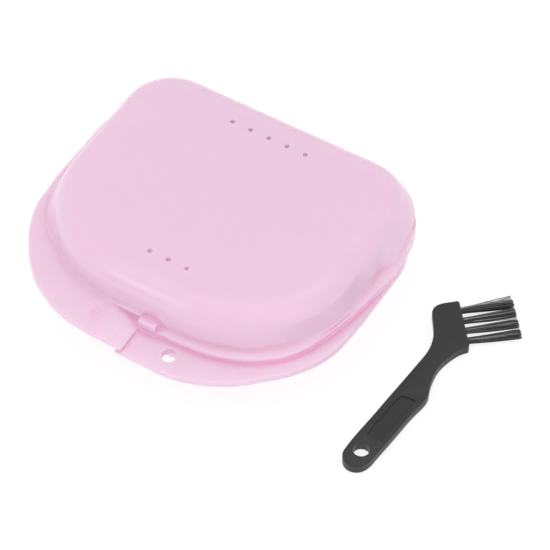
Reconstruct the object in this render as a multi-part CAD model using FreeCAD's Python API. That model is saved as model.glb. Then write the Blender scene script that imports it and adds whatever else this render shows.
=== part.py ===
import FreeCAD, Part
import os
import math

# A hinged mouthguard case, closed, with a two-part mouthguard inside and a small brush beside it.
# Millimetres. The origin is the centre of the case's flat bottom, +Z up, the latch at -Y and the
# hinge at +Y. The brush lies flat on z = 0 at +X, its head towards +Y.

os.makedirs("parts", exist_ok=True)
Vector = FreeCAD.Vector
X_AXIS = (1, 0, 0)
Z_AXIS = (0, 0, 1)

# ---------------------------------------------------------------- case dimensions
LID, BASE = 1, -1            # which half; also the Z direction from its rim to its flat face
HALF = 12.2                  # depth of each half
RIM_GAP = 0.1                # between the two rims
RIM_Z = {LID: HALF + RIM_GAP, BASE: HALF}
WALL = 1.5                   # wall thickness of both halves
CAVITY_OVERRUN = 0.5         # the cavity's cutter runs this far past the rim

# Flat face of each half
FLAT_X = 32.0                # half width
FLAT_BACK = 25.3             # back edge, +Y
FLAT_FRONT = 26.3            # front edge, -Y
FLAT_FRONT_R = 22.3          # corner radii
FLAT_BACK_R = 7.0

# Walls, as distances outwards from the flat face's edge
SHOULDER_R = 5.6             # rounding between the flat face and the walls
SHOULDER_H = HALF - SHOULDER_R       # height of that rounding's centre above the rim
SHOULDER_ANGLES = (90, 80, 69, 58, 47, 36, 25, 14, 4)   # sections round the shoulder
WALL_SECTIONS = 6            # sections from there to the rim
WALL_DRAFT = 0.012           # slope of the straight walls
SIDE_DRAFT = 0.24            # slope added where they turn to the sides
SKIRT_LEAN = math.radians(24)        # the shoulder's round ends here where the wall flares
SIDE_FLARE = 4.45            # how far the side walls flare out below the shoulder
SIDE_FLARE_LOSS = 1.7        # how much less they do at the back
BACK_FLARE = 2.5             # how far the back wall flares out
FLARE_LINEAR = 0.78          # share of the flare that is a plain slope, the rest is a curve
CORNER_BULGE = 1.25          # extra fullness of the back corners, half way down
SKIRT_DROP = 4.0             # at the narrow rim the skirt starts this far inside the wall
SKIRT_CREASE = 0.5           # softness of the crease where it comes out

# Rims
RIM_T = 2.05                 # thickness at the wall's foot
RIM_PROUD = 0.18             # the rim stands this far outside the flared wall's foot
FOOT_H = 2.0                 # height at which the wall's foot is taken
LIP_DROOP = 0.6              # the wide lip's outer edge is this much lower than its root
LIP_SPLIT_LID = -0.62        # the lid's wide lip ends at this x and runs to -X
LIP_SPLIT_BASE = -0.5        # the base's wide lip starts at this x and runs to +X
FAR = 60.0                   # beyond the case in x and y

# Outer edges (x, y) from the middle of the front round to the side
LIP_LID = [
    (0.0, -41.6), (5.6, -41.55), (8.8, -41.5), (12.3, -41.2), (15.9, -40.7), (19.9, -39.6),
    (22.3, -38.6), (24.8, -37.3), (28.1, -35.25), (30.1, -33.65), (31.8, -31.9),
    (33.5, -30.05), (34.9, -28.1), (36.3, -26.1), (37.65, -24.0), (38.75, -21.8),
    (39.7, -19.5), (40.5, -17.1), (41.0, -14.6), (41.2, -12.0), (41.4, -9.0),
    (41.55, -5.5), (41.65, -2.0), (41.7, 1.5), (41.75, 5.0), (41.75, 9.0)]
LIP_BASE = [
    (0.0, -41.5), (5.0, -41.55), (7.5, -41.55), (10.1, -41.55), (12.7, -41.3), (15.0, -40.8),
    (17.3, -40.2), (19.4, -39.4), (21.5, -38.45), (23.5, -37.35), (25.4, -36.2),
    (27.3, -34.8), (29.0, -33.3), (30.6, -31.7), (32.3, -30.1), (33.95, -28.5),
    (35.5, -26.7), (36.9, -24.7), (38.3, -22.6), (39.5, -20.2), (40.5, -17.5),
    (41.15, -14.3), (41.5, -10.4), (41.7, -6.2), (41.75, -1.4), (41.75, 3.0), (41.75, 9.0)]
NARROW_RIM = [
    (0.0, -33.95), (5.0, -33.9), (10.0, -33.75), (15.7, -33.3), (20.4, -32.25), (25.2, -30.4),
    (29.0, -28.0), (32.3, -25.1), (34.4, -22.2), (36.0, -19.2), (37.5, -14.6), (38.6, -10.8),
    (39.3, -7.3), (40.3, -2.0), (41.2, 4.0), (41.6, 9.0)]
BACK_Y = 11.5                # behind this the rim follows the flared wall
BACK_CENTRE_Y = 5.0          # the back's points are put in order round this point

# Section (x, z) of what is cut off the end of the lid's wide lip
LIP_END = [(-9.0, 14.9), (-6.5, 14.45), (-4.2, 13.75), (-2.2, 13.15), (-0.9, 12.86),
           (2.0, 12.7), (2.0, 17.0), (-9.0, 17.0)]
LIP_END_Y = ((-43.0, 0.63), (-32.6, 0.0))    # section's y, drop of its sloping points
LIP_END_TOP = 16.0           # points above this don't drop

# Step at the end of the base's wide lip
STEP_DROP = 0.7
STEP_X0, STEP_X1 = -2.3, LIP_SPLIT_BASE + 0.5

# Locating rib inside the base's rim
RIB_GAP = 0.28               # to the inside of the walls
RIB_T = 0.9
RIB_BITE = 0.35              # its root's overlap with the base's wall
RIB_TIP_H = 1.15             # height above the rim at which its tip clears the lid

VENT_R = 0.6
VENT_PITCH = 5.0
VENT_Y = 21.83
VENTS = [(k * VENT_PITCH, VENT_Y) for k in range(-2, 3)]
VENTS += [(k * VENT_PITCH, -VENT_Y) for k in range(-1, 2)]

LANYARD_HOLE = (9.5, -36.9)  # through the base's wide lip
LANYARD_HOLE_R = 1.85
DIMPLE_CENTRE = Vector(-11.0, -36.0, 17.05)  # sphere that dents the lid's wide lip
DIMPLE_R = 3.4

# Hinge
HINGE_Y = 34.7
HINGE_Z = 12.3
KNUCKLE_R = 1.6
KNUCKLE_RELIEF = 0.25        # radial room cut for the other half's knuckles
KNUCKLE_LID = 8.0            # half length of the lid's knuckle
KNUCKLE_GAP = 0.2
KNUCKLE_END = 13.0           # outer end of the base's knuckles
WEB_Y = 31.95                # where the knuckles' webs start
WEB_OFF_AXIS = 0.12          # the webs stop this far above or below the axis
PIN_R = 0.8
PIN_GAP_LID = 0.07           # radial clearances
PIN_GAP_BASE = 0.01
PIN_CHAMFER = 0.15

# Latch hook at the base's front
HOOK_X0, HOOK_X1 = -0.4, 4.1
HOOK_W = HOOK_X1 - HOOK_X0
HOOK_ROOT_Y, HOOK_ROOT_Z = -33.45, 8.6
HOOK_ROOT_R = 0.8
HOOK_ROOT_GAP = 0.07         # radial clearance of its socket
HOOK_SIDE_GAP = 0.12
# Side profile (y, z): up the outer face, round the head and its barb, down the inner face
HOOK_PROFILE = [
    (-33.85, 8.6), (-33.85, 13.0), (-34.3, 13.3), (-34.3, 14.9), (-33.85, 15.5),
    (-33.0, 15.55), (-32.35, 14.8), (-32.35, 14.1), (-32.85, 13.5), (-32.85, 8.6)]
HOOK_HEAD_Z = 13.2           # edges above this are rounded
BOSS_MARGIN = 1.7            # the boss round the root is this much wider than the hook
BOSS_Z0, BOSS_Z1 = 7.2, 10.6
BOSS_FILLET = 0.8


# ---------------------------------------------------------------- shape helpers
def box(x0, x1, y0, y1, z0, z1):
    return Part.makeBox(x1 - x0, y1 - y0, z1 - z0, Vector(x0, y0, z0))


def slab(x0, x1):
    """Everything of the case between two x."""
    return box(x0, x1, -FAR, FAR, -10, 40)


def cylinder(radius, start, direction, length):
    return Part.makeCylinder(radius, length, Vector(*start), Vector(*direction))


def hinge_cylinder(radius, x0, x1):
    return cylinder(radius, (x0, HINGE_Y, HINGE_Z), X_AXIS, x1 - x0)


def polygon(points):
    return Part.makePolygon(points + points[:1])


def smooth_ramp(value, start, span):
    """0 before start, 1 after start + span, eased between."""
    t = max(0.0, min(1.0, (value - start) / span))
    return t * t * (3 - 2 * t)


def shift(values, amount):
    return [v + amount for v in values]


def export(shape, name):
    assert shape.isValid(), name
    shape.exportStep("parts/" + name + ".step")


# ---------------------------------------------------------------- flat face's edge
def flat_edge():
    """Points and outward normals (x, y, nx, ny) round the flat face's edge, from the middle of
    the back, counter-clockwise seen from above."""
    points = []

    def line(start, end, count, normal):
        for i in range(count):
            t = i / count
            points.append((start[0] + (end[0] - start[0]) * t,
                           start[1] + (end[1] - start[1]) * t) + normal)

    def quarter(x, y, radius, start_angle, count):
        for i in range(count):
            angle = math.radians(start_angle + 90 * i / count)
            nx, ny = math.cos(angle), math.sin(angle)
            points.append((x + radius * nx, y + radius * ny, nx, ny))

    back_x, back_y = FLAT_X - FLAT_BACK_R, FLAT_BACK - FLAT_BACK_R
    front_x, front_y = FLAT_X - FLAT_FRONT_R, -(FLAT_FRONT - FLAT_FRONT_R)
    line((0, FLAT_BACK), (-back_x, FLAT_BACK), 4, (0, 1))
    quarter(-back_x, back_y, FLAT_BACK_R, 90, 9)
    line((-FLAT_X, back_y), (-FLAT_X, front_y), 6, (-1, 0))
    quarter(-front_x, front_y, FLAT_FRONT_R, 180, 17)
    line((-front_x, -FLAT_FRONT), (front_x, -FLAT_FRONT), 8, (0, -1))
    quarter(front_x, front_y, FLAT_FRONT_R, 270, 17)
    line((FLAT_X, front_y), (FLAT_X, back_y), 6, (1, 0))
    quarter(back_x, back_y, FLAT_BACK_R, 0, 9)
    line((back_x, FLAT_BACK), (0, FLAT_BACK), 4, (0, 1))
    return points


def knot_parameters():
    """One parameter for every section, by length round the shoulder's foot, so that the
    sections share their knots."""
    params = [0.0]
    for a, b in zip(EDGE, EDGE[1:] + EDGE[:1]):
        step = math.hypot(b[0] - a[0] + SHOULDER_R * (b[2] - a[2]),
                          b[1] - a[1] + SHOULDER_R * (b[3] - a[3]))
        params.append(params[-1] + step)
    return [p / params[-1] for p in params]


EDGE = flat_edge()
N = len(EDGE)
PARAMS = knot_parameters()


def ring(offsets, z, mirror):
    """Points at the given distances outside the flat's edge; z is one level or one per point."""
    levels = z if isinstance(z, list) else [z] * N
    points = []
    for (x, y, nx, ny), offset, level in zip(EDGE, offsets, levels):
        px = x + nx * offset
        points.append(Vector(-px if mirror else px, y + ny * offset, level))
    return points


def closed_spline(points):
    curve = Part.BSplineCurve()
    curve.interpolate(Points=points, Parameters=PARAMS, PeriodicFlag=True)
    return Part.Wire([curve.toShape()])


def loft(rings, ruled=False):
    return Part.makeLoft([closed_spline(r) for r in rings], True, ruled)


# ---------------------------------------------------------------- walls
def flare_weight(i):
    """1 where the wall flares out to the rim, 0 where it drops straight (the front)."""
    x, y = EDGE[i][:2]
    return smooth_ramp(y, -21.5, 8.5) if x < 0 else smooth_ramp(y, 1.0, 11.0)


def wall_offset(i, height, inset=0.0):
    """Distance from the flat's edge to the wall's face at a height above the rim; inset moves
    it inwards. The wide lip is on the x < 0 side; the base is built mirrored."""
    x, y, nx, ny = EDGE[i]
    radius = SHOULDER_R - inset

    def shoulder():
        s = (height - SHOULDER_H) / radius
        return radius * math.sqrt(max(0.0, 1 - s * s))

    if height >= SHOULDER_H:
        straight = shoulder()
    else:
        straight = radius + (WALL_DRAFT + SIDE_DRAFT * nx * nx) * (SHOULDER_H - height)

    skirt_h = SHOULDER_H + radius * math.sin(SKIRT_LEAN)
    if height >= skirt_h:
        flared = shoulder()
    else:
        t = (skirt_h - height) / skirt_h
        flare = SIDE_FLARE
        if y > 0:
            side = SIDE_FLARE - SIDE_FLARE_LOSS * smooth_ramp(y, 12.5, 8.0)
            flare = side * nx * nx + BACK_FLARE * ny * ny
        flared = radius * math.cos(SKIRT_LEAN)
        flared += flare * (FLARE_LINEAR * t + (1 - FLARE_LINEAR) * t ** 2)
        if y > 0 and t < 1:
            flared += CORNER_BULGE * 4 * nx * nx * ny * ny * math.sin(math.pi * t)

    weight = flare_weight(i)
    if x < 0:
        return straight * (1 - weight) + flared * weight
    if weight >= 1:
        return flared
    # the skirt comes out of the straight wall with a soft crease that climbs and fades
    skirt = flared - (1 - weight) * SKIRT_DROP
    soft = SKIRT_CREASE * (1 - weight)
    crease = 0.0
    if soft > 1e-6:
        crease = max(0.0, soft - abs(straight - skirt)) ** 2 / (4 * soft)
    return max(straight, skirt) + crease


def wall_offsets(height, inset=0.0):
    return [wall_offset(i, height, inset) for i in range(N)]


def half_body(side, inset, low):
    """Solid of one half from its flat face to the height low, inset from the outside."""
    heights = [SHOULDER_H + (SHOULDER_R - inset) * math.sin(math.radians(a))
               for a in SHOULDER_ANGLES]
    last = heights[-1]
    heights += [last + (low - last) * j / WALL_SECTIONS for j in range(1, WALL_SECTIONS + 1)]
    offsets = [[0.0] * N] + [wall_offsets(h, inset) for h in heights[1:]]
    return loft([ring(o, RIM_Z[side] + side * h, side == BASE)
                 for o, h in zip(offsets, heights)])


def cavity(side):
    return half_body(side, WALL, -CAVITY_OVERRUN)


# ---------------------------------------------------------------- rims
def catmull_rom(points, steps=10):
    curve = []
    last = len(points) - 1
    for i in range(last):
        four = (points[max(0, i - 1)], points[i], points[i + 1], points[min(last, i + 2)])
        for j in range(steps):
            t = j / steps
            curve.append(tuple(
                0.5 * (2 * b + (c - a) * t + (2 * a - 5 * b + 4 * c - d) * t * t
                       + (3 * b - a - 3 * c + d) * t ** 3)
                for a, b, c, d in zip(*four)))
    return curve + [points[-1]]


def closed_contour(right):
    """Contour from its front right part, mirrored to the left; the back is the wall's foot."""
    front_right = catmull_rom(right)
    front_left = [(-x, y) for x, y in reversed(front_right[1:])]
    foot = [(x + nx * o, y + ny * o) for (x, y, nx, ny), o in zip(EDGE, wall_offsets(0.0))]
    back = sorted([p for p in foot if p[1] > BACK_Y],
                  key=lambda p: math.atan2(p[1] - BACK_CENTRE_Y, p[0]))
    return front_right + back + front_left


def ray_distance(contour, x, y, nx, ny):
    """Distance from (x, y) along (nx, ny) to the contour."""
    nearest = math.inf
    for (ax, ay), (bx, by) in zip(contour, contour[1:] + contour[:1]):
        dx, dy = bx - ax, by - ay
        cross = nx * dy - ny * dx
        if abs(cross) < 1e-12:
            continue
        t = ((ax - x) * dy - (ay - y) * dx) / cross
        u = ((ax - x) * ny - (ay - y) * nx) / cross
        if t > 0 and -1e-9 <= u <= 1 + 1e-9:
            nearest = min(nearest, t)
    return nearest


def rim_offsets(right):
    contour = closed_contour(right)
    return [max(ray_distance(contour, *point), wall + RIM_PROUD)
            for point, wall in zip(EDGE, wall_offsets(0.0))]


def lid_flange(offsets, foot, wide, edge, droop):
    """Sections (offsets, z) of the lid's rim above its first: edge, upper face, cove, wall."""
    z_root = RIM_Z[LID] + RIM_T
    top = [z_root - (0.42 + droop * w) for w in wide]
    # hollow corner where the rim meets the wall, larger on the wide lip
    cove = []
    for i in range(N):
        radius = (0.35 + 1.25 * wide[i]) * (1 - flare_weight(i)) + 0.12
        width = offsets[i] - foot[i]
        if width < 3:
            radius = min(radius, 0.6 * width)
        cove.append(max(radius, 0.08))
    sections = [
        (shift(offsets, -0.18), shift(edge, 0.02)),
        (offsets, shift(edge, 0.25)),
        (offsets, shift(top, -0.4)),
        (shift(offsets, -0.12), shift(top, -0.13)),
        (shift(offsets, -0.40), top)]
    for angle in (0, 25, 50, 75):
        sine, cosine = math.sin(math.radians(angle)), math.cos(math.radians(angle))
        sections.append(([f + c * (1 - sine) - 0.02 for f, c in zip(foot, cove)],
                         [z_root + c * (1 - cosine) for c in cove]))
    sections.append(([wall_offset(i, RIM_T + cove[i]) - 0.05 for i in range(N)],
                     [z_root + c * 1.02 for c in cove]))
    sections.append((shift(wall_offsets(RIM_T + 2.1), -0.4), z_root + 2.1))
    return sections


def base_flange(offsets, foot, wide, edge, droop):
    """Sections (offsets, z) of the base's rim below its first: edge, lower face."""
    z_root = RIM_Z[BASE] - RIM_T
    low = [z_root - droop * 0.55 * w for w in wide]
    return [
        (shift(offsets, -0.40), shift(edge, -0.05)),
        (shift(offsets, -0.12), shift(edge, -0.17)),
        (offsets, shift(edge, -0.42)),
        (offsets, shift(low, 0.30)),
        (shift(offsets, -0.30), low),
        (shift(foot, -0.3), z_root)]


def flange(side, right, droop):
    """Solid disc with a rounded edge that follows a contour and droops where it is wide."""
    offsets = rim_offsets(right)
    foot = [min(f, o - 0.35) for f, o in zip(wall_offsets(FOOT_H), offsets)]
    wide = [max(0.0, min(1.0, (o - f - 2.4) / 7.0)) for o, f in zip(offsets, foot)]
    edge = [RIM_Z[side] - droop * w for w in wide]
    first = [min(o - 0.6, f + 2.6) for o, f in zip(offsets, foot)]
    outer = lid_flange if side == LID else base_flange
    sections = [(first, RIM_Z[side])] + outer(offsets, foot, wide, edge, droop)
    return loft([ring(o, z, side == BASE) for o, z in sections], ruled=True)


def solid_half(side, lip, lip_range, rim_range):
    """One uncut half: its outside with the wide lip and the narrow rim, each in its x range."""
    outside = half_body(side, 0.0, 0.0)
    rim = flange(side, NARROW_RIM, 0.0)
    lip_part = lip.common(slab(*lip_range))
    rim_part = rim.common(slab(*rim_range))
    return outside.fuse(lip_part.fuse(rim_part))


# ---------------------------------------------------------------- case lid
def lip_end_cutter():
    """Slopes the end of the lid's wide lip down towards the base's lip."""
    wires = [polygon([Vector(x, y, z - (drop if z < LIP_END_TOP else 0.0)) for x, z in LIP_END])
             for y, drop in LIP_END_Y]
    return Part.makeLoft(wires, True, True)


def make_lid():
    lip = flange(LID, LIP_LID, LIP_DROOP).cut(lip_end_cutter())
    lid = solid_half(LID, lip, (-FAR, LIP_SPLIT_LID), (LIP_SPLIT_LID, FAR))
    # notch in the rim for the latch hook
    lid = lid.cut(box(LIP_SPLIT_LID - 0.01, HOOK_X1 + 0.45, -50, -32.12, 10, 14.9))
    # room for the base's knuckles
    end = KNUCKLE_END + KNUCKLE_GAP
    for x0, x1 in ((-end, -KNUCKLE_LID), (KNUCKLE_LID, end)):
        lid = lid.cut(hinge_cylinder(KNUCKLE_R + KNUCKLE_RELIEF, x0, x1))
    # knuckle and the web that carries it
    lid = lid.fuse(box(-KNUCKLE_LID, KNUCKLE_LID, WEB_Y, HINGE_Y,
                       HINGE_Z + WEB_OFF_AXIS, HINGE_Z + KNUCKLE_R))
    lid = lid.fuse(hinge_cylinder(KNUCKLE_R, -KNUCKLE_LID, KNUCKLE_LID))
    lid = lid.cut(cavity(LID))
    lid = lid.cut(hinge_cylinder(PIN_R + PIN_GAP_LID, -KNUCKLE_LID - 1, KNUCKLE_LID + 1))
    # small catch the hook snaps over
    lid = lid.fuse(box(0.3, 3.4, -32.22, -31.6, 12.5, 13.3))
    for x, y in VENTS:
        lid = lid.cut(cylinder(VENT_R, (x, y, 20), Z_AXIS, 8))
    return lid.cut(Part.makeSphere(DIMPLE_R, DIMPLE_CENTRE))


# ---------------------------------------------------------------- case base
def hook_boss():
    boss = box(HOOK_X0 - BOSS_MARGIN, HOOK_X1 + BOSS_MARGIN, -35.2, -30.9, BOSS_Z0, BOSS_Z1)
    bottom = [e for e in boss.Edges
              if abs(e.BoundBox.ZMin - BOSS_Z0) < 1e-6 and abs(e.BoundBox.ZMax - BOSS_Z0) < 1e-6]
    return boss.makeFillet(BOSS_FILLET, bottom)


def locating_rib():
    """Rib on the inside of the base's rim, standing up into the lid."""
    lid_rim = wall_offsets(0.0, WALL)
    lid_above = wall_offsets(RIB_TIP_H, WALL)
    base_rim = [lid_rim[-i] for i in range(N)]       # the base is the lid's mirror image
    outer = [min(a, b) - RIB_GAP for a, b in zip(lid_rim, base_rim)]
    tip = [min(a, b, c) - RIB_GAP for a, b, c in zip(lid_above, base_rim, lid_rim)]
    inner = shift(tip, -RIB_T)
    root = shift(base_rim, RIB_BITE)

    def stack(*levels):
        return loft([ring(offsets, z, False) for offsets, z in levels], ruled=True)

    lower = stack((root, 10.4), (root, 12.2))
    upper = stack((outer, 12.1), (tip, 13.4), (shift(tip, -0.2), 13.6))
    hole = stack((shift(root, 0.3), 9.6), (shift(root, -0.1), 10.4), (inner, 11.9), (inner, 14.5))
    return lower.fuse(upper).cut(hole)


def make_base():
    lip = flange(BASE, LIP_BASE, LIP_DROOP)
    base = solid_half(BASE, lip, (LIP_SPLIT_BASE, FAR), (-FAR, LIP_SPLIT_BASE))
    # low step of the wide lip that reaches under the lid's lip
    step = lip.common(lip.translated(Vector(0, 0, -STEP_DROP)))
    base = base.fuse(step.common(box(STEP_X0, STEP_X1, -60, -30, 0, 40)))
    base = base.fuse(hook_boss())
    # room for the lid's knuckle, then the base's own knuckles and webs
    inner_end = KNUCKLE_LID + KNUCKLE_GAP
    base = base.cut(hinge_cylinder(KNUCKLE_R + KNUCKLE_RELIEF, -inner_end, inner_end))
    for x0, x1 in ((-KNUCKLE_END, -inner_end), (inner_end, KNUCKLE_END)):
        web = box(x0, x1, WEB_Y, HINGE_Y, HINGE_Z - KNUCKLE_R, HINGE_Z - WEB_OFF_AXIS)
        base = base.fuse(web).fuse(hinge_cylinder(KNUCKLE_R, x0, x1))
    base = base.cut(cavity(BASE))
    base = base.fuse(locating_rib())
    base = base.cut(hinge_cylinder(PIN_R + PIN_GAP_BASE, -KNUCKLE_END - 1, KNUCKLE_END + 1))
    # slot and socket for the hook
    x0, x1 = HOOK_X0 - HOOK_SIDE_GAP, HOOK_X1 + HOOK_SIDE_GAP
    base = base.cut(box(x0, x1, -34.55, -32.4, 8.9, 20))
    base = base.cut(cylinder(HOOK_ROOT_R + HOOK_ROOT_GAP, (x0, HOOK_ROOT_Y, HOOK_ROOT_Z),
                             X_AXIS, x1 - x0))
    return base.cut(cylinder(LANYARD_HOLE_R, LANYARD_HOLE + (0,), Z_AXIS, 20))


# ---------------------------------------------------------------- hinge pin and latch hook
def make_pin():
    pin = hinge_cylinder(PIN_R, -KNUCKLE_END, KNUCKLE_END)
    ends = [e for e in pin.Edges if e.BoundBox.XLength < 1e-6]
    return pin.makeChamfer(PIN_CHAMFER, ends).removeSplitter()


def make_hook():
    face = Part.Face(polygon([Vector(HOOK_X0, y, z) for y, z in HOOK_PROFILE]))
    hook = face.extrude(Vector(HOOK_W, 0, 0))
    head = [e for e in hook.Edges if e.BoundBox.ZMin > HOOK_HEAD_Z]
    # the largest radius the head's short edges take; none leaves them sharp
    for radius in (0.32, 0.25, 0.18):
        try:
            rounded = hook.makeFillet(radius, head)
            if rounded.isValid():
                hook = rounded
                break
        except Exception:
            pass
    root = cylinder(HOOK_ROOT_R, (HOOK_X0, HOOK_ROOT_Y, HOOK_ROOT_Z), X_AXIS, HOOK_W)
    return hook.fuse(root)


# ---------------------------------------------------------------- mouthguard
GUARD_Z = 1.62               # underside
GUARD_T = 1.9                # thickness of the shell's two walls
GUARD_FLOOR = 3.0            # thickness of its floor
LINER_GAP = 0.17             # between shell and liner
# Centre line: half an ellipse in front, open to the back, then two straight legs
ARCH_HALF_W = 24.5
ARCH_FRONT_Y = -21.5
ARCH_DEPTH = 27.0
ARCH_ANGLE = 112.0           # sweep of each half; past 90 degrees it is the leg
LEG_LENGTH = 13.0
LEG_SPREAD = 0.9
# Stations along the arch, -1 and 1 at its ends, 0 at the front
GUARD_STATIONS = [-1.0, -0.93, -0.82, -0.7, -0.56, -0.42, -0.28, -0.14, 0.0,
                  0.14, 0.28, 0.42, 0.56, 0.7, 0.82, 0.93, 1.0]
LINER_END = 0.975            # the liner stops short of the shell's ends
LINER_STATIONS = [-LINER_END] + GUARD_STATIONS[1:-1] + [LINER_END]


def arch_point(t):
    angle = abs(t) * ARCH_ANGLE
    bend = math.radians(min(angle, 90.0))
    leg = max(0.0, angle - 90.0) / (ARCH_ANGLE - 90.0)
    x = ARCH_HALF_W * math.sin(bend) + LEG_SPREAD * leg
    y = ARCH_FRONT_Y + ARCH_DEPTH * (1 - math.cos(bend)) + LEG_LENGTH * leg
    return math.copysign(x, t), y


def arch_normal(t):
    """Outward normal of the arch."""
    ax, ay = arch_point(max(-1, t - 1e-3))
    bx, by = arch_point(min(1, t + 1e-3))
    length = math.hypot(bx - ax, by - ay)
    return (by - ay) / length, (ax - bx) / length


def shell_profile(outer, inner, outer_h, inner_h):
    """Trough section (u outwards, height) between the outer and inner faces."""
    outer_in, inner_in = outer - GUARD_T, inner + GUARD_T
    return [(inner + 0.9, 0.0), (outer - 0.9, 0.0), (outer, 1.0), (outer + 0.15, 5.0),
            (outer - 0.9, outer_h - 0.5), (outer - 1.5, outer_h),
            (outer_in - 0.35, outer_h - 0.5), (outer_in + 0.1, 5.0),
            (outer_in - 0.6, GUARD_FLOOR), (inner_in + 0.6, GUARD_FLOOR), (inner_in, 5.0),
            (inner_in - 0.25, inner_h - 0.5), (inner + 1.1, inner_h),
            (inner + 0.5, inner_h - 0.5), (inner, 5.0), (inner, 1.0)]


def liner_profile(outer, inner, outer_h, inner_h):
    """Thinner trough section that lines the shell's."""
    out, inn = outer - GUARD_T - LINER_GAP, inner + GUARD_T + LINER_GAP
    bottom = GUARD_FLOOR + LINER_GAP
    return [(inn + 0.62, bottom), (out - 0.62, bottom), (out + 0.08, 5.0),
            (out - 0.40, outer_h - 1.6), (out - 0.9, outer_h - 1.5),
            (out - 1.1, outer_h - 2.2), (out - 1.1, 5.6), (out - 1.6, 4.3),
            (inn + 1.6, 4.3), (inn + 1.15, 5.6), (inn + 0.80, inner_h - 2.0),
            (inn + 0.55, inner_h - 1.5), (inn - 0.06, inner_h - 1.6), (inn, 5.0)]


def guard_section(t, profile):
    x, y = arch_point(t)
    nx, ny = arch_normal(t)
    k = abs(t)
    notch = 2.6 * math.exp(-(t / 0.05) ** 2)         # in the outer wall, at the front
    outer_h = 15.6 - 3.6 * smooth_ramp(k, 0.25, 0.75) - notch
    inner_h = 9.2 - 1.4 * smooth_ramp(k, 0.3, 0.7)
    widening = 1.0 + 0.12 * smooth_ramp(k, 0.3, 0.6)
    points = profile(5.6 * widening, -5.0 * widening, outer_h, inner_h)
    return polygon([Vector(x + nx * u, y + ny * u, GUARD_Z + h) for u, h in points])


def make_guard(profile, stations):
    return Part.makeLoft([guard_section(t, profile) for t in stations], True, False)


# ---------------------------------------------------------------- brush
BRUSH_T = 2.6
MID_Z = BRUSH_T / 2
# Outline (x, y), clockwise seen from above, from the -X side of the handle's end
HANDLE_LEFT = [(53.30, -33.0), (53.38, -28.6), (53.9, -22.3), (54.35, -15.8), (54.75, -10.3),
               (55.2, -3.9), (55.45, -0.2)]
NECK_LEFT = [(55.40, 1.8), (54.95, 4.2), (53.9, 6.9), (52.5, 9.2), (50.95, 11.5)]
HEAD_TOP = [(50.35, 12.7), (50.45, 14.2), (51.35, 15.6), (53.95, 18.05)]
HEAD_FACE = [(54.6, 17.95), (62.75, 8.0)]    # straight side the bristles stand on
HEAD_CORNER = (62.85, 7.3)
NECK_RIGHT = [(61.6, 5.6), (60.65, 3.2), (60.05, 0.6), (59.9, -1.9), (60.2, -4.3),
              (60.85, -6.9), (61.75, -9.2)]
HANDLE_RIGHT = [(61.95, -10.3), (61.55, -14.2), (61.1, -18.4), (60.8, -22.9), (60.45, -27.2),
                (60.15, -30.8)]
HANDLE_END = [(59.9, -33.0), (58.95, -34.95), (57.3, -35.95), (55.5, -35.9), (54.05, -34.85)]
BRUSH_HOLE = (56.65, -30.9)
BRUSH_HOLE_R = 1.95
# Grip panel (x, y) sunk into the upper face
PANEL = [(56.9, -12.9), (60.3, -12.6), (60.55, -14.2), (60.0, -18.5), (59.5, -23.0),
         (59.2, -26.6), (55.6, -26.6), (55.6, -22.5), (56.0, -17.4), (56.45, -14.4)]
PANEL_DEPTH = 0.25

TUFT_DIR = (0.7254, 0.6883)
# Root x, y on the head's face and the lean from TUFT_DIR in degrees
TUFTS = [(56.05, 16.35, 2.4), (58.05, 14.0, 0.9), (59.95, 11.72, 0.0), (61.85, 9.4, -0.4)]
TUFT_LEN = 12.3
TUFT_R = 0.86
TUFT_DEPTH = 2.3             # of the tuft in the head
SOCKET_GAP = 0.02
SOCKET_EXTRA = 0.9           # the socket is this much deeper than the tuft
# Distance along the tuft, half width in the brush's plane, half thickness
TUFT_SECTIONS = [(-TUFT_DEPTH, TUFT_R, TUFT_R), (0.6, TUFT_R, TUFT_R),
                 (TUFT_LEN * 0.55, 1.12, 0.95), (TUFT_LEN, 1.42, 1.08)]
ANCHOR_DEPTH = TUFT_DEPTH + 0.72
ANCHOR_L, ANCHOR_W, ANCHOR_T = 0.6, 1.3, 0.25


def brush_outline():
    def spline(points):
        curve = Part.BSplineCurve()
        curve.interpolate([Vector(x, y, 0) for x, y in points])
        return curve.toShape()

    def line(start, end):
        return Part.makeLine(Vector(*start, 0), Vector(*end, 0))

    return Part.Wire([
        spline(HANDLE_LEFT),
        spline(HANDLE_LEFT[-1:] + NECK_LEFT),
        spline(NECK_LEFT[-1:] + HEAD_TOP),
        line(HEAD_TOP[-1], HEAD_FACE[0]),
        line(HEAD_FACE[0], HEAD_FACE[1]),
        line(HEAD_FACE[1], HEAD_CORNER),
        spline([HEAD_CORNER] + NECK_RIGHT),
        spline(NECK_RIGHT[-1:] + HANDLE_RIGHT),
        spline(HANDLE_RIGHT[-1:] + HANDLE_END + HANDLE_LEFT[:1])])


def tuft_direction(lean):
    angle = math.radians(lean)
    dx, dy = TUFT_DIR
    return (dx * math.cos(angle) - dy * math.sin(angle),
            dx * math.sin(angle) + dy * math.cos(angle))


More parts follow.
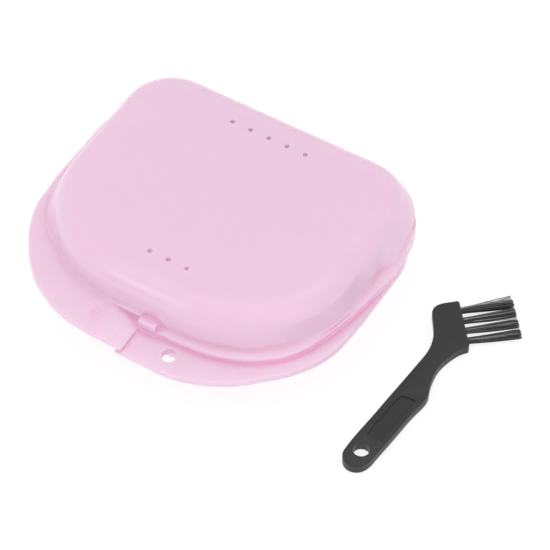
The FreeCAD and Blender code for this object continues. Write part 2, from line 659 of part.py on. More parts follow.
def make_brush():
    brush = Part.Face(brush_outline()).extrude(Vector(0, 0, BRUSH_T))
    rims = [e for e in brush.Edges if e.BoundBox.ZLength < 1e-6]
    # the outline's corners may refuse a fillet; a chamfer stands in for it
    try:
        brush = brush.makeFillet(0.3, rims)
    except Exception:
        brush = brush.makeChamfer(0.35, rims)
    brush = brush.cut(cylinder(BRUSH_HOLE_R, BRUSH_HOLE + (-1,), Z_AXIS, 5))
    panel = Part.Face(polygon([Vector(x, y, BRUSH_T - PANEL_DEPTH) for x, y in PANEL]))
    brush = brush.cut(panel.extrude(Vector(0, 0, 2)))
    depth = TUFT_DEPTH + SOCKET_EXTRA
    for x, y, lean in TUFTS:
        dx, dy = tuft_direction(lean)
        start = (x - dx * depth, y - dy * depth, MID_Z)
        brush = brush.cut(cylinder(TUFT_R + SOCKET_GAP, start, (dx, dy, 0), 8))
    return brush


def make_tuft(x, y, lean):
    """Tuft that spreads a little towards its tip."""
    dx, dy = tuft_direction(lean)
    wires = []
    for distance, half_w, half_t in TUFT_SECTIONS:
        # an ellipse's major radius has to be the larger, even where the tuft is round
        ellipse = Part.Ellipse(Vector(0, 0, 0), max(half_w, half_t + 1e-4), half_t)
        # lay the long axis in the brush's plane, across the tuft
        placing = FreeCAD.Matrix(-dy, 0, dx, x + dx * distance,
                                 dx, 0, dy, y + dy * distance,
                                 0, 1, 0, MID_Z,
                                 0, 0, 0, 1)
        wires.append(Part.Wire([ellipse.toShape()]).transformGeometry(placing))
    return Part.makeLoft(wires, True, True)


def make_anchors():
    """Small flat plates across the bottoms of the sockets."""
    anchors = []
    for x, y, lean in TUFTS:
        dx, dy = tuft_direction(lean)
        corner = Vector(0, -ANCHOR_W / 2, -ANCHOR_T / 2)
        anchor = Part.makeBox(ANCHOR_L, ANCHOR_W, ANCHOR_T, corner)
        anchor.Placement = FreeCAD.Placement(
            Vector(x - dx * ANCHOR_DEPTH, y - dy * ANCHOR_DEPTH, MID_Z),
            FreeCAD.Rotation(Vector(0, 0, 1), math.degrees(math.atan2(dy, dx))))
        anchors.append(anchor)
    return Part.makeCompound(anchors)


export(make_base(), "case_base")
export(make_lid(), "case_lid")
export(make_pin(), "hinge_pin")
export(make_hook(), "latch_hook")
export(make_guard(shell_profile, GUARD_STATIONS), "mouthguard_shell")
export(make_guard(liner_profile, LINER_STATIONS), "mouthguard_liner")
export(make_brush(), "brush_handle")
for number, tuft in enumerate(TUFTS, 1):
    export(make_tuft(*tuft), "bristle_tuft_%d" % number)
export(make_anchors(), "tuft_anchors")
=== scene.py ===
# A pale pink case that holds a mouthguard and a small black brush.
# Metres, +Z up, on a floor at z = 0. The front of the case, with its latch hook, faces -Y.
# The mouthguard's arch is closed towards -Y and its two legs run towards +Y.
import bpy, bmesh, math
import numpy as np
from mathutils import Vector, Matrix

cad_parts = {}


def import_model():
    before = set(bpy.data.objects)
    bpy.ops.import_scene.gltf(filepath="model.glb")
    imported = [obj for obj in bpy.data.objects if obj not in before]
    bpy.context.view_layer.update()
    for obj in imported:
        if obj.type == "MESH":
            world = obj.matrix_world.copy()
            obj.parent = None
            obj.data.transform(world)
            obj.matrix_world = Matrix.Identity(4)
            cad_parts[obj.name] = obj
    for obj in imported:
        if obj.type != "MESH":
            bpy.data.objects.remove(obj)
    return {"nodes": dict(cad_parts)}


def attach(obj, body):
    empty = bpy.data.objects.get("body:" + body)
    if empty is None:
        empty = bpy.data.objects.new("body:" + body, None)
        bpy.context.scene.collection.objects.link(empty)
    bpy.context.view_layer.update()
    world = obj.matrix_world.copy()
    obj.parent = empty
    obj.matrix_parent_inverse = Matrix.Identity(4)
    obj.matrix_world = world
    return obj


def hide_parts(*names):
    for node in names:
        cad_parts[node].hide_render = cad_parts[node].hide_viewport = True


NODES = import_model()["nodes"]
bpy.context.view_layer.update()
MM = 0.001
scene = bpy.context.scene


# ------------------------------------------------------------------ node helpers
def feed(tree, socket, value):
    """Link a socket's output into an input, or set a plain value; colours get an alpha of 1."""
    if isinstance(value, bpy.types.NodeSocket):
        tree.links.new(value, socket)
    elif socket.type == "RGBA" and len(value) == 3:
        socket.default_value = (*value, 1.0)
    else:
        socket.default_value = value


def set_inputs(tree, node, inputs):
    for key, value in inputs.items():
        feed(tree, node.inputs[key], value)


def add_node(tree, kind, inputs=None, **properties):
    node = tree.nodes.new(kind)
    for key, value in properties.items():
        setattr(node, key, value)
    set_inputs(tree, node, inputs or {})
    return node


def new_material(name):
    material = bpy.data.materials.new(name)
    material.use_nodes = True
    material.node_tree.nodes.clear()
    return material, material.node_tree


def add_output(tree, shader):
    add_node(tree, "ShaderNodeOutputMaterial", {0: shader.outputs[0]})


def add_principled(tree, inputs):
    shader = add_node(tree, "ShaderNodeBsdfPrincipled", inputs)
    add_output(tree, shader)
    return shader


def mix(tree, amount, first, second):
    node = add_node(tree, "ShaderNodeMix", {0: amount, 6: first, 7: second},
                    data_type="RGBA", blend_type="MIX")
    return node.outputs[2]


def ramp(tree, value, stops):
    """Grey ramp; stops are (position, grey)."""
    node = add_node(tree, "ShaderNodeValToRGB", {0: value})
    elements = node.color_ramp.elements
    while len(elements) < len(stops):
        elements.new(0.5)
    for element, (position, grey) in zip(elements, stops):
        element.position = position
        element.color = (grey, grey, grey, 1.0)
    return node.outputs[0]


def coords(tree, scale=(1, 1, 1)):
    source = add_node(tree, "ShaderNodeTexCoord").outputs["Object"]
    return add_node(tree, "ShaderNodeMapping", {"Vector": source, "Scale": scale}).outputs[0]


def noise(tree, vector, scale, detail=2.0, roughness=0.5, distortion=0.0):
    return add_node(tree, "ShaderNodeTexNoise", {
        "Vector": vector, "Scale": scale, "Detail": detail,
        "Roughness": roughness, "Distortion": distortion}).outputs["Fac"]


def calc(tree, operation, first, second):
    return add_node(tree, "ShaderNodeMath", {0: first, 1: second}, operation=operation).outputs[0]


def scaled(tree, value, by, plus=None):
    """value * by, and + plus where that is given."""
    product = calc(tree, "MULTIPLY", value, by)
    return product if plus is None else calc(tree, "ADD", product, plus)


def fade_along(tree, coordinate, start, end, gain, shift=None):
    """Fade between two places on an axis, each (mm, grey).

    gain and shift bring the coordinate, in metres, into the ramp's 0 to 1.
    """
    stops = [(place * MM * gain + (shift or 0.0), grey) for place, grey in (start, end)]
    return ramp(tree, scaled(tree, coordinate, by=gain, plus=shift), stops)


def openness(tree, distance, samples):
    """Ambient occlusion: 0 where the surroundings close in, 1 in the open."""
    node = add_node(tree, "ShaderNodeAmbientOcclusion", {"Distance": distance}, samples=samples)
    return node.outputs["AO"]


def bump(tree, height, strength, distance, normal=None):
    inputs = {"Height": height, "Strength": strength, "Distance": distance}
    if normal is not None:
        inputs["Normal"] = normal
    return add_node(tree, "ShaderNodeBump", inputs).outputs[0]


def rounded(tree, radius):
    return add_node(tree, "ShaderNodeBevel", {"Radius": radius}, samples=6).outputs[0]


# ------------------------------------------------------------------ materials
def glow_inside(tree, shader, colour, strength):
    """Light come through the thin walls: it fades where the surroundings open up.

    Sets the shader's emission colour and returns the strength to use.
    """
    shut = ramp(tree, openness(tree, distance=22.0 * MM, samples=12), [(0.01, 1.0), (0.20, 0.0)])
    feed(tree, shader.inputs["Emission Color"], colour)
    return scaled(tree, shut, by=strength)


def case_material(name, cloud_scale):
    """Pale pink polypropylene: glossy, translucent, painted a fuller pink as shade where it meets
    itself, with a painted glow in its gaps.
    """
    cloud_pinks = (0.798, 0.566, 0.712), (0.808, 0.577, 0.722)
    floor_lit_pink = (0.776, 0.598, 0.710)
    flow_pink = (0.86, 0.66, 0.79)
    crease_shade_pink = (0.784, 0.412, 0.588)
    slot_glow = (0.48, 0.44, 0.50)
    inner_glow = (0.73, 0.475, 0.620)

    material, tree = new_material(name)
    vector = coords(tree)
    place = add_node(tree, "ShaderNodeTexCoord").outputs["Object"]
    x, y, z = add_node(tree, "ShaderNodeSeparateXYZ", {0: place}).outputs

    cloud = noise(tree, vector, scale=cloud_scale, detail=1.0)
    base = mix(tree, cloud, *cloud_pinks)
    # painted floor light: low down, the plastic is painted milkier, for the floor's light coming
    # through
    low = fade_along(tree, z, start=(13.9, 1.0), end=(15.6, 0.0), gain=40.0)
    base = mix(tree, scaled(tree, low, by=0.85), base, floor_lit_pink)
    # fine moulding flow lines, hardly visible
    flow = noise(tree, coords(tree, scale=(40, 260, 260)), scale=1.0,
                 roughness=0.55, distortion=0.3)
    base = mix(tree, scaled(tree, flow, by=0.04), base, flow_pink)

    # painted crease shade: closed-in corners are painted a darker, fuller pink, for the shade
    # there and the light that has gone through the wall
    closed_in = openness(tree, distance=2.7 * MM, samples=16)
    crease_shade = ramp(tree, closed_in, [(0.05, 0.16), (0.36, 0.22), (0.64, 1.0), (0.92, 0.0)])
    narrow = ramp(tree, closed_in, [(0.12, 1.0), (0.62, 0.0)])
    # on the right (+X), away from the front, the gap between the halves is paler: less painted
    # crease shade there, and more painted glow
    right = calc(tree, "MULTIPLY",
                 fade_along(tree, x, start=(30, 0.0), end=(36, 1.0), gain=20.0),
                 fade_along(tree, y, start=(-19, 0.0), end=(-8, 1.0), gain=20.0, shift=0.5))
    paler = calc(tree, "MULTIPLY", narrow, right)
    kept = calc(tree, "SUBTRACT", 1.0, scaled(tree, paler, by=0.85))
    crease_shade = calc(tree, "MULTIPLY", crease_shade, kept)
    base = mix(tree, scaled(tree, crease_shade, by=0.86), base, crease_shade_pink)

    # soft mould edges, broad waviness, then fine grain
    normal = rounded(tree, radius=0.22 * MM)
    normal = bump(tree, noise(tree, vector, scale=42.0, detail=0.0),
                  strength=0.03, distance=0.2 * MM, normal=normal)
    normal = bump(tree, noise(tree, vector, scale=2600.0, detail=1.0),
                  strength=0.04, distance=0.02 * MM, normal=normal)
    shader = add_principled(tree, {
        "Base Color": base,
        "Subsurface Weight": 0.75,
        "Subsurface Radius": (1.0, 0.62, 0.85),
        "Subsurface Scale": 2.2 * MM,
        "IOR": 1.49,
        "Specular IOR Level": 0.5,
        "Roughness": scaled(tree, noise(tree, vector, scale=95.0), by=0.05, plus=0.165),
        "Normal": normal,
    })

    inside = glow_inside(tree, shader, inner_glow, strength=0.50)
    # the slot round the hook, at the front and outside the compartment, keeps little glow
    behind_slot = fade_along(tree, y, start=(-32, 0.2), end=(-27, 1.0), gain=20.0, shift=1.0)
    inside = calc(tree, "MULTIPLY", inside, behind_slot)
    # painted glow in the narrow gaps between the halves, a little more on the right
    seam_glow = calc(tree, "ADD", scaled(tree, narrow, by=0.34), scaled(tree, paler, by=0.14))
    set_inputs(tree, shader, {
        "Emission Color": mix(tree, scaled(tree, inside, by=2.0), slot_glow, inner_glow),
        "Emission Strength": calc(tree, "MAXIMUM", inside, seam_glow),
    })
    return material


def steel_material(name):
    """Steel with fine lines drawn along X."""
    material, tree = new_material(name)
    lines = noise(tree, coords(tree, scale=(30, 2500, 2500)), scale=1.0)
    add_principled(tree, {
        "Base Color": mix(tree, lines, (0.50, 0.50, 0.51), (0.66, 0.66, 0.67)),
        "Metallic": 1.0,
        "Roughness": scaled(tree, lines, by=0.25, plus=0.18),
        "Normal": bump(tree, lines, strength=0.25, distance=0.01 * MM),
    })
    return material


def brass_material(name):
    material, tree = new_material(name)
    cloud = noise(tree, coords(tree), scale=900.0)
    add_principled(tree, {
        "Base Color": mix(tree, cloud, (0.62, 0.45, 0.20), (0.80, 0.64, 0.34)),
        "Metallic": 1.0,
        "Roughness": scaled(tree, cloud, by=0.2, plus=0.22),
    })
    return material


def brush_material(name):
    """Black moulded plastic with a fine satin grain, rubbed a little smoother on its edges, which
    are painted paler as a highlight.
    """
    blacks = (0.010, 0.010, 0.011), (0.016, 0.016, 0.0175)
    edge_highlight_black = (0.045, 0.045, 0.048)

    material, tree = new_material(name)
    vector = coords(tree)
    grain = noise(tree, vector, scale=3200.0, roughness=0.6)
    base = mix(tree, noise(tree, vector, scale=45.0, detail=3.0), *blacks)
    pointiness = add_node(tree, "ShaderNodeNewGeometry").outputs["Pointiness"]
    edge = ramp(tree, pointiness, [(0.50, 0.0), (0.58, 1.0)])
    roughness = scaled(tree, grain, by=0.14, plus=0.38)
    add_principled(tree, {
        # painted highlight: the edges are painted paler
        "Base Color": mix(tree, scaled(tree, edge, by=0.25), base, edge_highlight_black),
        "Roughness": calc(tree, "SUBTRACT", roughness, scaled(tree, edge, by=0.08)),
        "IOR": 1.5,
        "Normal": bump(tree, grain, strength=0.30, distance=0.02 * MM,
                       normal=rounded(tree, radius=0.15 * MM)),
    })
    return material


def bristle_material(name):
    """Black nylon filament: each strand has its own tone, the paler ones painted as glints, and a
    paler, worn cut tip.

    The strand attribute holds the shade in red and the place from root to tip in green.
    """
    black, grey = (0.006, 0.006, 0.0065), (0.30, 0.30, 0.305)
    worn_tip = (0.10, 0.10, 0.10)

    material, tree = new_material(name)
    strand = add_node(tree, "ShaderNodeAttribute", attribute_name="strand").outputs["Color"]
    shade, along, _ = add_node(tree, "ShaderNodeSeparateColor", {0: strand}).outputs
    # painted glints: the paler strands stand in for light caught along them
    shade = ramp(tree, shade, [(0.0, 0.0), (0.55, 0.10), (0.80, 0.42), (1.0, 1.0)])
    tip = ramp(tree, along, [(0.90, 0.0), (1.0, 1.0)])
    base = mix(tree, shade, black, grey)
    add_principled(tree, {
        "Base Color": mix(tree, scaled(tree, tip, by=0.5), base, worn_tip),
        "Roughness": 0.38,
        "IOR": 1.53,
    })
    return material


def guard_material(name, colour, deep_tone_and_shade, weight, depth, roughness, cloud_scale):
    """Translucent moulded material with painted shade in its corners and a painted glow inside;
    weight and depth set its subsurface scattering.
    """
    material, tree = new_material(name)
    vector = coords(tree)
    cloud = noise(tree, vector, scale=cloud_scale, detail=3.0, roughness=0.6, distortion=0.5)
    base = mix(tree, cloud, colour, deep_tone_and_shade)
    # painted shade: closed-in corners are painted in the deeper colour
    corners = ramp(tree, openness(tree, distance=3.0 * MM, samples=6), [(0.3, 0.45), (0.9, 0.0)])
    shader = add_principled(tree, {
        "Base Color": mix(tree, corners, base, deep_tone_and_shade),
        "Subsurface Weight": weight,
        "Subsurface Radius": (1.0, 0.8, 0.8),
        "Subsurface Scale": depth,
        "IOR": 1.46,
        "Roughness": scaled(tree, noise(tree, vector, scale=260.0), by=0.16, plus=roughness),
        "Normal": bump(tree, noise(tree, vector, scale=1500.0),
                       strength=0.12, distance=0.05 * MM),
    })
    glow = glow_inside(tree, shader, colour=(0.84, 0.62, 0.73), strength=0.30)
    feed(tree, shader.inputs["Emission Strength"], glow)
    return material


MATERIALS = {
    "case_base": case_material("case_pink_base", cloud_scale=14.0),
    "case_lid": case_material("case_pink_lid", cloud_scale=15.4),
    "latch_hook": case_material("case_pink_hook", cloud_scale=17.0),
    "hinge_pin": steel_material("pin_steel"),
    "tuft_anchors": brass_material("anchor_brass"),
    "brush_handle": brush_material("brush_black"),
    "mouthguard_shell": guard_material(
        "guard_shell_eva", colour=(0.80, 0.82, 0.83), deep_tone_and_shade=(0.68, 0.71, 0.74),
        weight=0.5, depth=3.0 * MM, roughness=0.30, cloud_scale=90.0),
    "mouthguard_liner": guard_material(
        "guard_gel_rose", colour=(0.84, 0.42, 0.58), deep_tone_and_shade=(0.78, 0.32, 0.50),
        weight=0.4, depth=2.0 * MM, roughness=0.38, cloud_scale=99.0),
}
BRISTLE = bristle_material("bristle_nylon")


# ------------------------------------------------------------------ CAD pieces
def weld_group(sharp_degrees):
    """Geometry nodes that weld seams and shade smooth, but keep real edges sharp."""
    group = bpy.data.node_groups.new("weld_and_shade_%d" % sharp_degrees, "GeometryNodeTree")
    for direction in ("INPUT", "OUTPUT"):
        group.interface.new_socket("Geometry", in_out=direction,
                                   socket_type="NodeSocketGeometry")

    def shade(geometry, domain, smooth, **selection):
        return add_node(group, "GeometryNodeSetShadeSmooth",
                        {0: geometry, "Shade Smooth": smooth, **selection},
                        domain=domain).outputs[0]

    source = add_node(group, "NodeGroupInput").outputs[0]
    geometry = add_node(group, "GeometryNodeMergeByDistance",
                        {0: source, "Distance": 1e-6}).outputs[0]
    geometry = shade(geometry, "FACE", True)
    geometry = shade(geometry, "EDGE", True)
    angle = add_node(group, "GeometryNodeInputMeshEdgeAngle").outputs[0]
    sharp = add_node(group, "FunctionNodeCompare", {0: angle, 1: math.radians(sharp_degrees)},
                     data_type="FLOAT", operation="GREATER_THAN").outputs[0]
    geometry = shade(geometry, "EDGE", False, Selection=sharp)
    add_node(group, "NodeGroupOutput", {0: geometry})
    return group


WELD = weld_group(sharp_degrees=32)
for name, piece in NODES.items():
    if "custom_normal" in piece.data.attributes:
        piece.data.attributes.remove(piece.data.attributes["custom_normal"])
    piece.modifiers.new("weld", "NODES").node_group = WELD
    if name in MATERIALS:
        piece.data.materials.clear()
        piece.data.materials.append(MATERIALS[name])


def add_object(name, data):
    item = bpy.data.objects.new(name, data)
    scene.collection.objects.link(item)
    return item


# ------------------------------------------------------------------ brush tufts
STRANDS = 110                   # filaments in a tuft
STRAND_SIDES = 6
STRAND_RINGS = 9
STRAND_RADIUS = 0.088 * MM
TIP_RADIUS_SCALE = 0.8
STRAIGHT_LENGTH = 2.3 * MM      # length from the root before the strands fan out
BUNDLE_RADIUS = 0.74            # mm
GOLDEN_ANGLE = math.pi * (3 - math.sqrt(5))
UP = np.array([0.0, 0.0, 1.0])


def tuft_frame(name):
    """Root centre, horizontal axis, sideways axis and length of a tuft, from its solid."""
    vertices = NODES[name].data.vertices
    points = np.zeros(len(vertices) * 3, np.float32)
    vertices.foreach_get("co", points)
    points = points.reshape(-1, 3).astype(float)
    centre = points.mean(0)
    _, vectors = np.linalg.eigh(np.cov((points - centre).T))
    axis = vectors[:, 2]
    axis[2] = 0.0
    axis /= np.linalg.norm(axis)
    if axis @ np.array([1.0, 1.0, 0.0]) < 0:
        axis = -axis
    along = (points - centre) @ axis
    side = np.array([-axis[1], axis[0], 0.0])
    root = points[along < along.min() + 1e-5].mean(0)
    return root, axis, side, float(along.max() - along.min())


def make_tuft(number, splay):
    """Replace a tuft's solid with filaments; splay near 1 bends most of them to one side."""
    name = "bristle_tuft_%d" % number
    root, axis, side, solid_length = tuft_frame(name)
    rng = np.random.default_rng(100 + number)
    verts, faces, colours = [], [], []
    for i in range(STRANDS):
        # place in the bundle, on a unit disc: u sideways, v up
        radial = math.sqrt((i + 0.5) / STRANDS)
        theta = i * GOLDEN_ANGLE + rng.normal(0, 0.08)
        u, v = radial * math.cos(theta), radial * math.sin(theta)
        uneven = abs(rng.normal(0, 0.16))
        length = solid_length + 0.27 * MM - uneven * MM - 0.10 * MM * radial

        # how far the tip leans and the middle bows, in mm
        slight_lean = rng.normal(0, 0.10)   # drawn for every strand, to keep the sequence
        glint_lift = 0.0
        if splay > 0.9:
            lean_u = u * 0.40 - 0.98 + rng.normal(0, 0.08)
            # the strays are painted pale as glints
            if rng.random() < 0.13:         # a few pale strays
                lean_u = rng.uniform(-0.35, 1.30) - u * 0.5
                glint_lift = 0.55
        else:
            lean_u = u * 0.46 - 0.34 + slight_lean
        lean_v = v * 0.26 + rng.normal(0, 0.07)
        bow_u = rng.normal(0, 0.10 + 0.05 * splay)
        bow_v = rng.normal(0, 0.07)
        shade = glint_lift + (1 - glint_lift) * rng.random()

        first = len(verts)
        for j in range(STRAND_RINGS):
            part = j / (STRAND_RINGS - 1)
            reach = part * length
            fan = max(0.0, (reach - STRAIGHT_LENGTH) / (length - STRAIGHT_LENGTH))
            lean = fan ** 1.15
            bow = math.sin(math.pi * fan)
            off_u = (u * BUNDLE_RADIUS + lean_u * lean + bow_u * bow) * MM
            off_v = (v * BUNDLE_RADIUS + lean_v * lean + bow_v * bow) * MM
            centre = root + axis * reach + side * off_u + UP * off_v
            radius = STRAND_RADIUS * (1.0 - 0.12 * lean)
            if j == STRAND_RINGS - 1:
                radius *= TIP_RADIUS_SCALE
            for q in range(STRAND_SIDES):
                turn = 2 * math.pi * q / STRAND_SIDES
                verts.append(centre + (side * math.cos(turn) + UP * math.sin(turn)) * radius)
                colours.append((shade, part, 0.0, 1.0))
        for j in range(STRAND_RINGS - 1):
            ring = first + j * STRAND_SIDES
            for q in range(STRAND_SIDES):
                a, b = ring + q, ring + (q + 1) % STRAND_SIDES
                faces.append((a, b, b + STRAND_SIDES, a + STRAND_SIDES))
        last = first + (STRAND_RINGS - 1) * STRAND_SIDES
        faces.append(tuple(first + (STRAND_SIDES - 1 - q) for q in range(STRAND_SIDES)))
        faces.append(tuple(last + q for q in range(STRAND_SIDES)))

    mesh = bpy.data.meshes.new("filaments_%d" % number)
    mesh.from_pydata([tuple(vert) for vert in verts], [], faces)
    strand = mesh.color_attributes.new("strand", "FLOAT_COLOR", "POINT")
    strand.data.foreach_set("color", np.array(colours, np.float32).ravel())
    for face in mesh.polygons:
        face.use_smooth = True
    mesh.materials.append(BRISTLE)
    tuft = add_object("filaments_tuft_%d" % number, mesh)
    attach(tuft, "brush")
    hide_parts(name)


for number, splay in ((1, 1.0), (2, 0.35), (3, 0.25), (4, 0.3)):
    make_tuft(number, splay)


# ------------------------------------------------------------------ mouthguard, in mm
# A place on the arch runs from -1 at the -X end, through 0 at the front, to 1 at the +X end.
GUARD_Z = 1.62          # underside of the guard
ARCH_HALF_WIDTH = 24.5
ARCH_FRONT_Y = -21.5
ARCH_DEPTH = 27.0       # front to the end of the curve
CURVE_DEGREES = 90      # the curve ends here and the legs begin
ARCH_DEGREES = 112
LEG_LENGTH = 13.0
LEG_FLARE = 0.9
WALL = 1.9
LINER_GAP = 0.22        # between shell and liner
GUARD_STEPS = 220
# tooth boundaries, as lengths along the arch from its middle
TEETH = np.array([0.0, 8.4, 15.0, 22.4, 29.4, 36.4, 46.4, 56.0])
FRONT_TEETH = 3         # on each side


def smooth(x):
    x = max(0.0, min(1.0, x))
    return x * x * (3 - 2 * x)


def arch(place):
    angle = abs(place * math.radians(ARCH_DEGREES))
    curve_end = math.radians(CURVE_DEGREES)
    on_curve = min(angle, curve_end)
    x = ARCH_HALF_WIDTH * math.sin(on_curve)
    y = ARCH_FRONT_Y + ARCH_DEPTH * (1 - math.cos(on_curve))
    if angle > curve_end:
        leg = (angle - curve_end) / math.radians(ARCH_DEGREES - CURVE_DEGREES)
        y += LEG_LENGTH * leg
        x += LEG_FLARE * leg
    return np.array([math.copysign(x, place) if place else 0.0, y])


def arch_frame(place):
    """Point, outward normal and direction of travel."""
    step = 2e-2
    travel = arch(min(1.0, place + step)) - arch(max(-1.0, place - step))
    travel /= np.linalg.norm(travel)
    return arch(place), np.array([travel[1], -travel[0]]), travel


ARC_PLACES = np.linspace(0, 1, 400)
ARC_POINTS = np.array([arch(place) for place in ARC_PLACES])
ARC_LENGTHS = np.concatenate(
    [[0.0], np.cumsum(np.linalg.norm(np.diff(ARC_POINTS, axis=0), axis=1))])


def tooth(place):
    """0 between two teeth to 1 in the middle of one; which tooth; how far across it."""
    length = float(np.interp(abs(place), ARC_PLACES, ARC_LENGTHS))
    which = int(np.searchsorted(TEETH, length, side="right")) - 1
    which = max(0, min(len(TEETH) - 2, which))
    across = (length - TEETH[which]) / (TEETH[which + 1] - TEETH[which])
    return math.sin(math.pi * max(0.0, min(1.0, across))) ** 0.7, which, across


def guard_profile(place, kind):
    """Corners of the section as (outward, up), anticlockwise from the inner bottom."""
    away = abs(place)
    notch = 2.6 * math.exp(-(place / 0.05) ** 2)     # dip in the outer wall at the middle
    outer_top = 15.6 - 3.6 * smooth((away - 0.25) / 0.75) - notch
    inner_top = 9.2 - 1.4 * smooth((away - 0.3) / 0.7)
    widen = 1.0 + 0.12 * smooth((away - 0.3) / 0.6)
    outer, inner = 5.6 * widen, -5.0 * widen
    middle, which, across = tooth(place)
    front = which < FRONT_TEETH

    if kind == "shell":
        pad = 0.0 if front else 0.16 * (1 - middle)     # shallow grooves between bite pads
        bulge = 0.12 * middle
        return [
            (inner + 0.9, pad), (outer - 0.9, pad), (outer, 1.0),
            (outer + 0.15 + bulge, 5.0), (outer - 0.45 + bulge, outer_top - 3.6),
            (outer - 0.80, outer_top - 1.3), (outer - 0.75, outer_top - 0.35),
            (outer - 1.45, outer_top + 0.05), (outer - WALL - 0.30, outer_top - 0.4),
            (outer - WALL - 0.35, outer_top - 1.6), (outer - WALL + 0.1, 5.0),
            (outer - WALL - 0.6, 3.0), (inner + WALL + 0.6, 3.0), (inner + WALL, 5.0),
            (inner + WALL - 0.25, inner_top - 0.6), (inner + 1.15, inner_top + 0.05),
            (inner + 0.40, inner_top - 0.5), (inner, 5.0), (inner, 1.0),
        ]

    outer -= WALL + LINER_GAP
    inner += WALL + LINER_GAP
    bottom = 3.0 + LINER_GAP
    # the outer and inner print of each tooth, and its biting edge in the floor
    outer_print = 0.52 * middle
    inner_print = 0.34 * middle
    bite = 4.85 - (0.85 if front else 0.50) * middle
    cusp = 0.0 if front else 0.42 * math.cos(4 * math.pi * across)
    ridge = 0.1 if front else 0.35
    return [
        (inner + 0.62, bottom), (outer - 0.62, bottom), (outer + 0.04, 5.0),
        (outer - 0.24, outer_top - 3.2), (outer - 0.42, outer_top - 1.75),
        (outer - 0.80, outer_top - 1.5), (outer - 1.30, outer_top - 1.95),
        (outer - 1.40 + outer_print * 0.6, outer_top - 3.6), (outer - 1.30 + outer_print, 6.2),
        (outer - 1.55 + outer_print, 5.3), (outer - 2.0, bite - cusp * 0.4),
        (0.5 * (outer + inner), bite + ridge + cusp), (inner + 2.0, bite - cusp * 0.4),
        (inner + 1.45 - inner_print, 5.4), (inner + 1.15 - inner_print, 6.2),
        (inner + 0.95, inner_top - 2.1), (inner + 0.60, inner_top - 1.5),
        (inner + 0.10, inner_top - 1.75), (inner + 0.02, 5.0),
    ]


def cut_corners(points, times):
    """Chaikin's corner cutting on a closed outline."""
    for _ in range(times):
        following = np.roll(points, -1, axis=0)
        points = np.stack([0.75 * points + 0.25 * following, 0.25 * points + 0.75 * following],
                          axis=1).reshape(-1, points.shape[1])
    return points


def make_guard(kind, node, end, end_radius):
    """Sweep the section along the arch, from -end to end, and round off both ends."""
    cap = [(end_radius * math.sin(math.radians(angle)),
            end_radius * (1 - math.cos(math.radians(angle)))) for angle in (25, 50, 72, 88)]
    # rows: place on the arch, mm moved along it, mm the section is drawn in
    rows = [(-end, -along, inset) for along, inset in reversed(cap)]
    rows += [(-end + 2 * end * k / GUARD_STEPS, 0.0, 0.0) for k in range(GUARD_STEPS + 1)]
    rows += [(end, along, inset) for along, inset in cap]

    verts, faces = [], []
    for place, along, inset in rows:
        centre, outward, travel = arch_frame(place)
        section = cut_corners(np.array(guard_profile(place, kind)), times=2)
        if inset > 0:
            edge = np.roll(section, -1, axis=0) - np.roll(section, 1, axis=0)
            edge /= np.linalg.norm(edge, axis=1)[:, None] + 1e-9
            section = section + np.stack([-edge[:, 1], edge[:, 0]], axis=1) * inset
        # the end rows step back by the radius, so the caps finish within the length
        if abs(place) >= end:
            along -= math.copysign(end_radius, place)
        for out, height in section:
            x, y = centre + outward * out + travel * along
            verts.append((x * MM, y * MM, (GUARD_Z + height) * MM))
    size = len(section)
    for row in range(len(rows) - 1):
        a, b = row * size, (row + 1) * size
        for i in range(size):
            j = (i + 1) % size
            faces.append((a + i, a + j, b + j, b + i))
    faces.append(tuple(range(size - 1, -1, -1)))
    faces.append(tuple((len(rows) - 1) * size + i for i in range(size)))

    mesh = bpy.data.meshes.new("moulded_" + kind)
    mesh.from_pydata(verts, [], faces)
    bm = bmesh.new()
    bm.from_mesh(mesh)
    bmesh.ops.recalc_face_normals(bm, faces=bm.faces)
    bm.to_mesh(mesh)
    bm.free()
    for face in mesh.polygons:
        face.use_smooth = len(face.vertices) == 4
    mesh.materials.append(MATERIALS[node])
    guard = add_object("moulded_" + kind, mesh)
    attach(guard, "guard")
    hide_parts(node)


make_guard("shell", "mouthguard_shell", end=1.0, end_radius=0.62)
make_guard("liner", "mouthguard_liner", end=0.972, end_radius=0.36)


# ------------------------------------------------------------------ stage
def make_floor(half):
    mesh = bpy.data.meshes.new("floor")
    corners = [(-half, -half, 0), (half, -half, 0), (half, half, 0), (-half, half, 0)]
    mesh.from_pydata(corners, [], [(0, 1, 2, 3)])
    plane = add_object("floor", mesh)
    # mostly self-lit white, with some diffuse to take the shadows
    material, tree = new_material("floor_white")
    diffuse = add_node(tree, "ShaderNodeBsdfDiffuse", {"Color": (0.24, 0.24, 0.24)})
    glow = add_node(tree, "ShaderNodeEmission", {"Color": (1, 1, 1), "Strength": 0.80})
    both = add_node(tree, "ShaderNodeAddShader", {0: diffuse.outputs[0], 1: glow.outputs[0]})
    add_output(tree, both)
    mesh.materials.append(material)


LIGHT_TARGET = Vector((0.012, -0.004, 0.012))


def add_area(name, place, size, power, rotation=None):
    """Rectangular light, turned to the target unless a rotation is given."""
    light = bpy.data.lights.new(name, "AREA")
    light.shape = "RECTANGLE"
    light.size, light.size_y = size
    light.energy = power
    light.color = (1, 1, 1)
    lamp = add_object(name, light)
    lamp.location = place
    lamp.rotation_mode = "QUATERNION"
    if rotation is None:
        rotation = (LIGHT_TARGET - Vector(place)).to_track_quat("-Z", "Y")
    lamp.rotation_quaternion = rotation
    return lamp


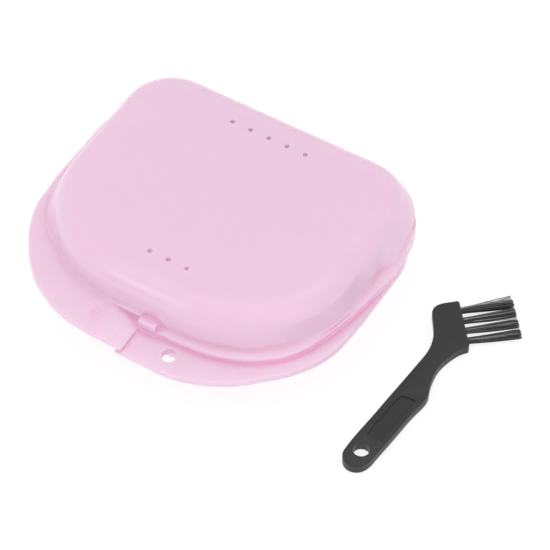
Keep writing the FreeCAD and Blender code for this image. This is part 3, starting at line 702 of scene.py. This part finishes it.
def add_lights():
    key = add_area("key_softbox", place=(-0.30, -0.36, 0.78), size=(0.55, 0.40), power=1.10)
    key.visible_glossy = False
    add_area("top_softbox", place=(0.10, 0.15, 1.0), size=(0.9, 0.9), power=1.3)
    # the strip's own X, Y and Z axes
    strip_axes = Matrix((
        (0.919, -0.394, 0.0),
        (0.163, 0.381, 0.910),
        (-0.359, -0.836, 0.415),
    )).transposed()
    add_area("edge_strip", place=(-0.335, -0.745, 0.46), size=(0.075, 0.32), power=0.23,
             rotation=strip_axes.to_quaternion())
    add_area("right_fill", place=(0.75, -0.30, 0.30), size=(0.6, 0.5), power=0.75)


def make_world():
    """White surroundings, a little brighter to the camera than as a light."""
    world = bpy.data.worlds.new("studio")
    scene.world = world
    world.use_nodes = True
    tree = world.node_tree
    seen = add_node(tree, "ShaderNodeLightPath").outputs["Is Camera Ray"]
    set_inputs(tree, tree.nodes["Background"], {
        "Color": (1, 1, 1),
        "Strength": scaled(tree, seen, by=0.18, plus=0.82),
    })


def add_camera():
    bearing = math.radians(31.431)      # from the front, towards +X
    elevation = math.radians(50.256)
    distance = 701.7                    # mm
    aim_right, aim_up = 12.84, -17.863  # mm, in the camera's own plane
    aim_height = 24.5                   # mm

    right = Vector((math.cos(bearing), math.sin(bearing), 0))
    back = Vector((math.sin(bearing) * math.cos(elevation),
                   -math.cos(bearing) * math.cos(elevation), math.sin(elevation)))
    up = back.cross(right)
    place = (aim_right * right + aim_up * up + distance * back
             + Vector((0, 0, aim_height))) * MM
    camera = bpy.data.cameras.new("camera")
    camera.sensor_width = 36
    camera.lens = 199.058256
    camera.clip_start, camera.clip_end = 0.01, 20
    holder = add_object("camera", camera)
    pose = Matrix.Identity(4)
    for i in range(3):
        pose[i][0], pose[i][1], pose[i][2], pose[i][3] = right[i], up[i], back[i], place[i]
    holder.matrix_world = pose
    scene.camera = holder


make_floor(half=4.0)
add_lights()
make_world()
add_camera()

scene.view_settings.view_transform = "Standard"
scene.view_settings.look = "None"
scene.view_settings.exposure = 0.0
scene.cycles.use_denoising = True
scene.cycles.max_bounces = 12
scene.cycles.diffuse_bounces = 6
